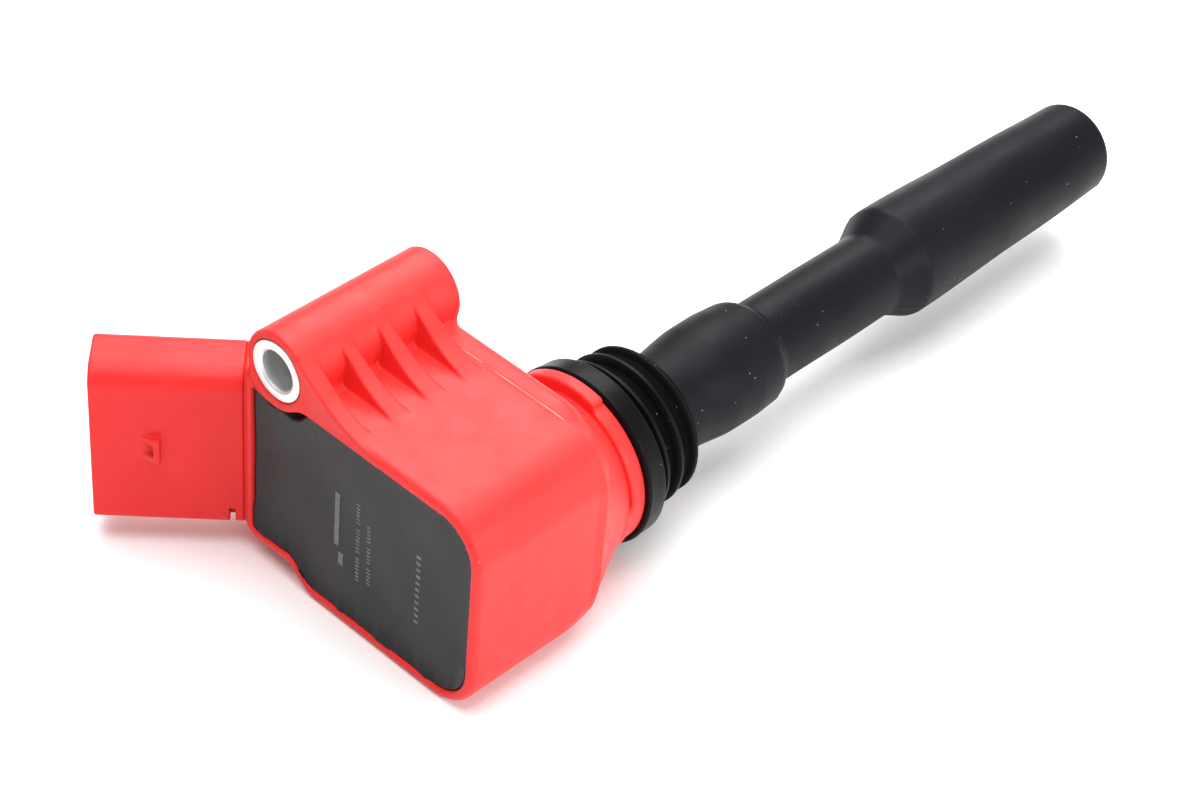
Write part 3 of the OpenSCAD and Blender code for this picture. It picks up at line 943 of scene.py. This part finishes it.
SEAL_CORE_R = SPIGOT_R + 0.9
BAND_W = 4.1
LIPS = ((5.85, 13.7), (9.75, 13.1), (13.35, 12.75))


def lip(x, r):
    """Profile corners of one seal lip with its edge at (x, r)."""
    return [(x - 0.95, SEAL_CORE_R, 0.3), (x - 0.3, r, 0.12), (x + 0.3, r, 0.2), (x + 0.9, SEAL_CORE_R, 0.3)]


def seal_shape(x, r, angle):
    """Slightly uneven rubber, the more so away from the seal's core."""
    wave = 0.05 * np.sin(3 * angle + x) + 0.03 * np.sin(7 * angle + 2 * x)
    return r + wave * np.clip((r - SEAL_CORE_R) / 1.5, 0, 1)


def make_seal():
    """A band with a soft back edge, and three lips that get smaller towards the boot."""
    corners = [
        (0.0, SPIGOT_R, 0.1), (0.0, BAND_R - 0.35, 0.25), (0.35, BAND_R, 0.3),
        (BAND_W - 0.4, BAND_R - 0.25, 0.35), (BAND_W, BAND_R - 0.8, 0.3), (BAND_W + 0.1, SEAL_CORE_R, 0.4)]
    for x, r in LIPS:
        corners += lip(x, r)
    corners += [(SPIGOT_END, SEAL_CORE_R, 0.2), (SPIGOT_END, SPIGOT_R, 0.1)]
    piece = lathe("seal_ring", corners, around=180, segments=5, shape=seal_shape, longest=0.8)
    finish_piece(piece, "coil", "seal_rubber", SEAL_RUBBER, "well_seal")


SEAM_ANGLE = math.radians(205)
RIB_ANGLE = 1.5 * math.pi


def boot_shape(x, r, angle):
    """Moulding lines along both sides, a low rib under the plug end and a slightly soft form."""
    outer = fade(r, 6.6, 7.1)
    seam = 0.13 * np.exp(-(np.sin(angle - SEAM_ANGLE) / 0.022) ** 2)
    under = np.exp(-((angle - RIB_ANGLE) / 0.13) ** 2)
    rib_height = 0.7 * under * fade(x, 100, 106) * fade(x, 118.5, 117.5)
    soft = 0.05 * np.sin(0.23 * x + 2 * angle) + 0.04 * np.sin(0.11 * x - 3 * angle)
    return r + outer * (seam + rib_height + soft)


def make_boot():
    """Outside: grip over the tower, thin neck, long plug end. Inside: the plug's bore, the tower's seat."""
    start = BOOT_LOW[0]
    end = BOOT_HIGH[0]
    bore_end, step_r, spring_end, spring_r = 86.0, 4.0, 84.8, 5.0
    outside = [
        (start, TOWER_R, 0.2), (start, 8.5, 0.5), (21.5, 8.8, 8.0), (27.0, 9.5, 8.0), (33.0, 9.6, 8.0),
        (38.6, 9.2, 3.4), (40.6, 7.4, 1.6), (52.0, 7.3, 20.0), (69.6, 7.35, 3.5), (75.0, 9.95, 3.2),
        (80.0, 9.85, 6.0), (95.0, 9.4, 20.0), (112.0, 8.95, 20.0), (end - 0.2, 8.5, 2.3)]
    inside = [
        (end, BOOT_BORE_R + 1.0, 0.5), (end - 3.5, BOOT_BORE_R, 2.0), (bore_end, BOOT_BORE_R, 0.2),
        (bore_end, step_r, 0.2), (spring_end, step_r, 0.2), (spring_end, spring_r, 0.2),
        (TOWER_END, spring_r, 0.2), (TOWER_END, TOWER_R, 0.2)]
    piece = lathe("boot_rubber", outside + inside, around=168, segments=8, shape=boot_shape, longest=1.2)
    finish_piece(piece, "coil", "boot_rubber", BOOT_RUBBER, "plug_boot")


# ---------------------------------------------------------------- contact


WIRE_R = 0.38
SPRING_R = SPRING_HIGH[1] - WIRE_R
SPRING_TURNS = 17
CLOSED_PART = 0.06


def make_contact():
    """Cup that grips the plug's terminal, on a stem inside the spring."""
    x0, x1 = CUP_LOW[0], CUP_HIGH[0]
    r = CUP_HIGH[1]
    back = x1 - 10.6
    floor = back + 2.0
    stem_r, bore_r, axis_r = 1.9, 3.2, 0.001
    corners = [(x0, axis_r, 0), (x0, stem_r, 0.5), (back, stem_r, 0.3), (back, r, 0.7), (x1, r, 0.4),
               (x1, bore_r + 0.4, 0.4), (x1 - 1.2, bore_r, 0.5), (floor, bore_r, 0.6), (floor, axis_r, 0)]
    cup = lathe("contact_cap", corners, around=96, segments=5)
    finish_piece(cup, "contact", "contact_brass", BRASS, "contact_cup")


def spring_centre(t):
    """Place along X of the wire's centre at share t of its length, with a closed turn at each end."""
    x0, x1 = SPRING_LOW[0], SPRING_HIGH[0]
    lead = np.clip((t - CLOSED_PART) / (1 - 2 * CLOSED_PART), 0, 1)
    first = np.clip(t / CLOSED_PART, 0, 1)
    last = np.clip((t - 1 + CLOSED_PART) / CLOSED_PART, 0, 1)
    return x0 + WIRE_R + (x1 - x0 - 2 * WIRE_R) * lead + WIRE_R * (first + last - 1)


def make_spring():
    """Coil spring between the resistor's cap and the contact."""
    count = SPRING_TURNS * 28
    sides = 10
    points = []
    for i in range(count + 1):
        t = i / count
        angle = 2 * math.pi * SPRING_TURNS * t
        outward = np.array([0, math.cos(angle), math.sin(angle)])
        centre = SPRING_R * outward + np.array([spring_centre(t), 0, 0])
        for k in range(sides):
            a = 2 * math.pi * k / sides
            points.append(centre + WIRE_R * (math.cos(a) * outward + math.sin(a) * np.array([1.0, 0, 0])))
    faces = []
    for i in range(count):
        near, far = i * sides, (i + 1) * sides
        for k in range(sides):
            m = (k + 1) % sides
            faces.append((near + k, near + m, far + m, far + k))
    faces += [tuple(reversed(range(sides))), tuple(count * sides + k for k in range(sides))]
    piece = mesh_piece("contact_coil", points, faces)
    fix_normals(piece)
    finish_piece(piece, "coil", "spring_steel", SPRING_STEEL, "contact_spring")
    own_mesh(piece)


# ---------------------------------------------------------------- hidden CAD parts keep their shapes


def dress_cad_parts():
    """Materials of the CAD nodes that are shown as they are."""
    laminated = grained("core_steel", (0.20, 0.20, 0.21), 0.45, 900, 0.02, 0.8, (6, 0.2, 0.2))
    bobbin = grained("bobbin_plastic", (0.62, 0.58, 0.50), 0.50, 500, 0.02)
    copper = grained("copper_wire", (0.55, 0.20, 0.07), 0.32, 1400, 0.05, 0.9, (0.2, 5, 0.2))
    chip = grained("chip_plastic", (0.02, 0.02, 0.022), 0.55, 800, 0.02)
    looks = {
        "outer_yoke": laminated, "centre_core": laminated,
        "yoke_cushions": grained("cushion_rubber", (0.03, 0.03, 0.032), 0.7, 700, 0.03),
        "bias_magnet": grained("magnet", (0.12, 0.12, 0.14), 0.4, 700, 0.01, 0.6),
        "primary_bobbin": bobbin, "secondary_bobbin": bobbin,
        "primary_winding": copper, "secondary_winding": copper,
        "driver_board": grained("circuit_board", (0.04, 0.18, 0.09), 0.4, 400, 0.01),
        "power_switch": chip, "hv_diode": chip,
        "heat_spreader": metal("spreader_aluminium", (0.72, 0.73, 0.74), 0.35, (1, 1, 0.1)),
        "hv_terminal": BRASS,
        "resistor_cap_upper": metal("cap_steel", (0.66, 0.66, 0.67), 0.3, (1, 0.2, 0.2)),
        "resistor_cap_lower": metal("cap_steel_lower", (0.66, 0.66, 0.67), 0.3, (1, 0.2, 0.2)),
        "suppressor_resistor": grained("resistor_ceramic", (0.80, 0.76, 0.66), 0.5, 600, 0.01),
    }
    for node, material in looks.items():
        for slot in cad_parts[node].material_slots:
            slot.material = material


# ---------------------------------------------------------------- studio


CAMERA_AZIMUTH, CAMERA_ELEVATION, CAMERA_ROLL = (math.radians(v) for v in (-49.35, 40.35, 5.3))
CAMERA_TARGET = Vector((8.84, 4.29, 3.84)) * MM
CAMERA_DISTANCE = 470.0 * MM
FLOOR_GAP = 0.02
FLOOR_HALF = 3000


def make_camera():
    """Camera on a sphere round its target, rolled a little to the left."""
    flat = math.cos(CAMERA_ELEVATION)
    rise = math.sin(CAMERA_ELEVATION)
    back = Vector((math.sin(CAMERA_AZIMUTH) * flat, -math.cos(CAMERA_AZIMUTH) * flat, rise))
    right = Vector((0, 0, 1)).cross(back).normalized()
    up = back.cross(right)
    turned_right = right * math.cos(CAMERA_ROLL) + up * math.sin(CAMERA_ROLL)
    turned_up = up * math.cos(CAMERA_ROLL) - right * math.sin(CAMERA_ROLL)
    data = bpy.data.cameras.new("camera")
    data.sensor_width = 36
    data.lens = 89.9
    data.clip_start = 0.01
    data.clip_end = 20
    camera = bpy.data.objects.new("camera", data)
    rotation = Matrix((turned_right, turned_up, back)).transposed().to_4x4()
    camera.matrix_world = Matrix.Translation(CAMERA_TARGET + back * CAMERA_DISTANCE) @ rotation
    bpy.context.scene.collection.objects.link(camera)
    bpy.context.scene.camera = camera


def make_floor():
    corners = [(x * FLOOR_HALF, y * FLOOR_HALF, HEAD_BOTTOM - FLOOR_GAP)
               for x, y in ((-1, -1), (1, -1), (1, 1), (-1, 1))]
    piece = mesh_piece("floor", corners, [(0, 1, 2, 3)], smooth=False)
    m = Nodes("floor_paper")
    m.set(Base_Color=m.mix(m.noise(3, detail=2), 0.86, 0.88))
    m.set(Roughness=0.85)
    piece.data.materials.append(m.material)


def area_light(name, place, target, size, power):
    """Soft rectangular light at a place, turned to its target."""
    data = bpy.data.lights.new(name, "AREA")
    data.shape = "RECTANGLE"
    data.size, data.size_y = (s * MM for s in size)
    data.energy = power
    light = bpy.data.objects.new(name, data)
    light.location = Vector(place) * MM
    light.rotation_euler = (Vector(target) * MM - light.location).to_track_quat("-Z", "Y").to_euler()
    bpy.context.scene.collection.objects.link(light)


def make_lights():
    """White surroundings, a wide light above and a smaller one behind and at the right."""
    world = bpy.data.worlds.new("studio")
    world.use_nodes = True
    background = world.node_tree.nodes["Background"]
    background.inputs["Color"].default_value = rgba(1)
    background.inputs["Strength"].default_value = 0.50
    bpy.context.scene.world = world
    area_light("top", (40, 60, 700), (30, 0, 0), size=(900, 700), power=9)
    area_light("back", (450, 380, 520), (0, 0, 0), size=(500, 400), power=4)
    area_light("right", (60, -650, 260), (0, 0, 0), size=(600, 300), power=4)
    bpy.context.scene.view_settings.view_transform = "Standard"


make_camera()
make_floor()
make_lights()
make_housing()
make_tower()
make_connector()
make_terminals()
make_sleeve()
make_potting()
make_print()
make_seal()
make_boot()
make_contact()
make_spring()
dress_cad_parts()
